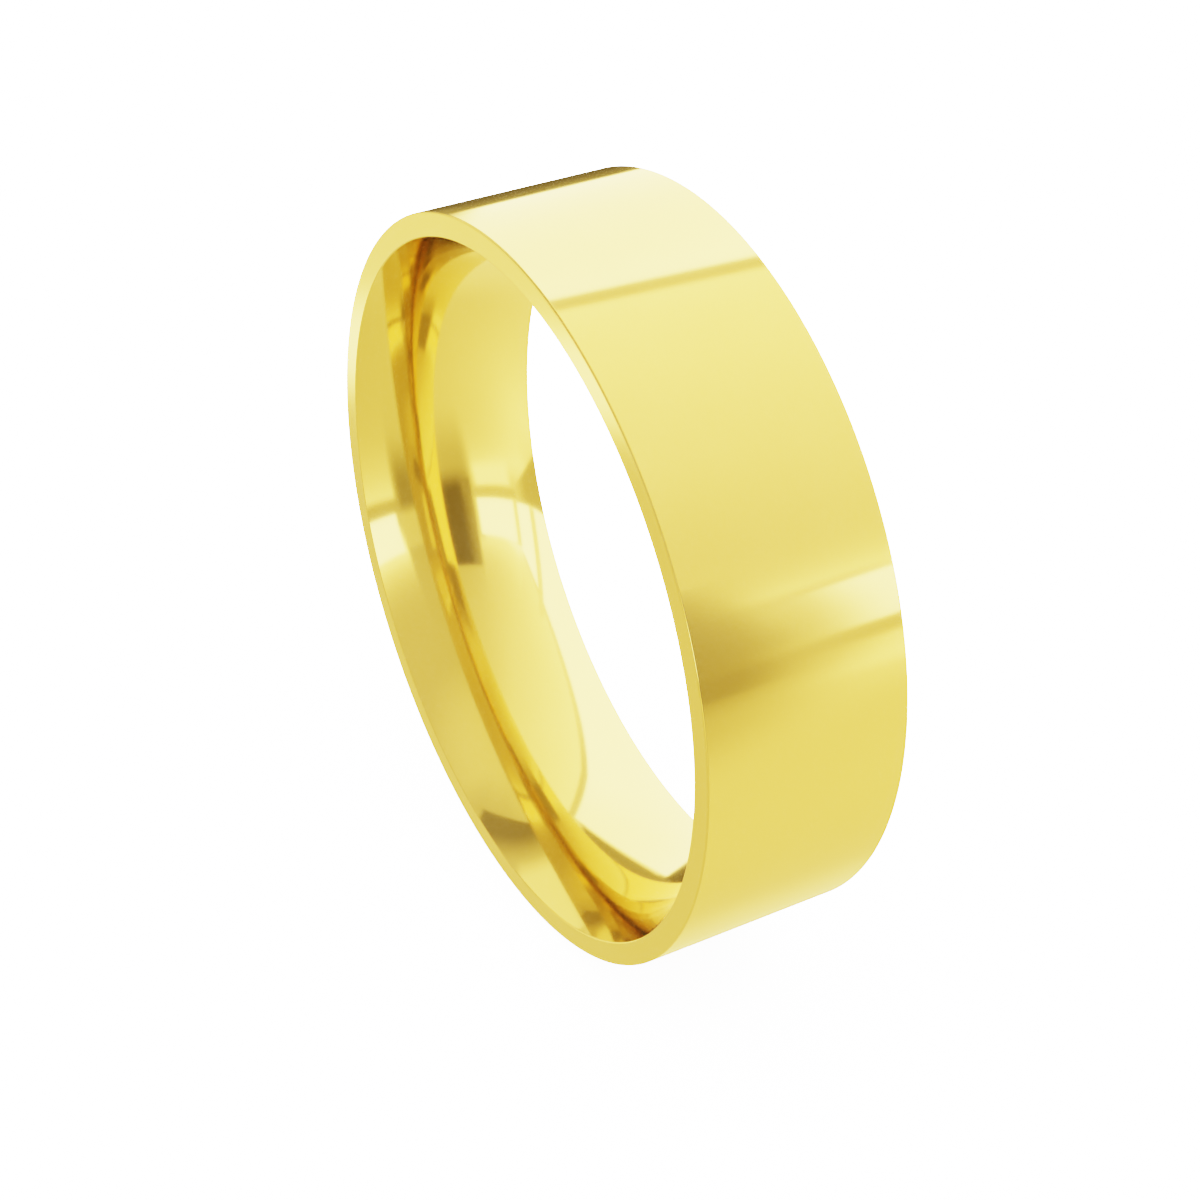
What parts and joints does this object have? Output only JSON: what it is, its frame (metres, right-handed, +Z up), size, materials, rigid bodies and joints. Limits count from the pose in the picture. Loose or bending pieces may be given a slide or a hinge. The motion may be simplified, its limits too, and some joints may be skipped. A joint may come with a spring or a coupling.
{
  "type": "wedding band",
  "caption": "Plain polished gold finger ring, flat outside with square edges and a domed comfort-fit bore.",
  "frame": {"origin": "centre of the band, on the axis of its bore and midway between its two flat edge faces", "axes": "+Y along the axis of the bore, from the front edge face to the back one; +Z up, with the band standing on its rim; X across the bore"},
  "size_m": [0.0218, 0.006, 0.0218],
  "materials": {
    "gold": "polished"
  },
  "bodies": {
    "root": {"band": "gold"}
  },
  "joints": []
}
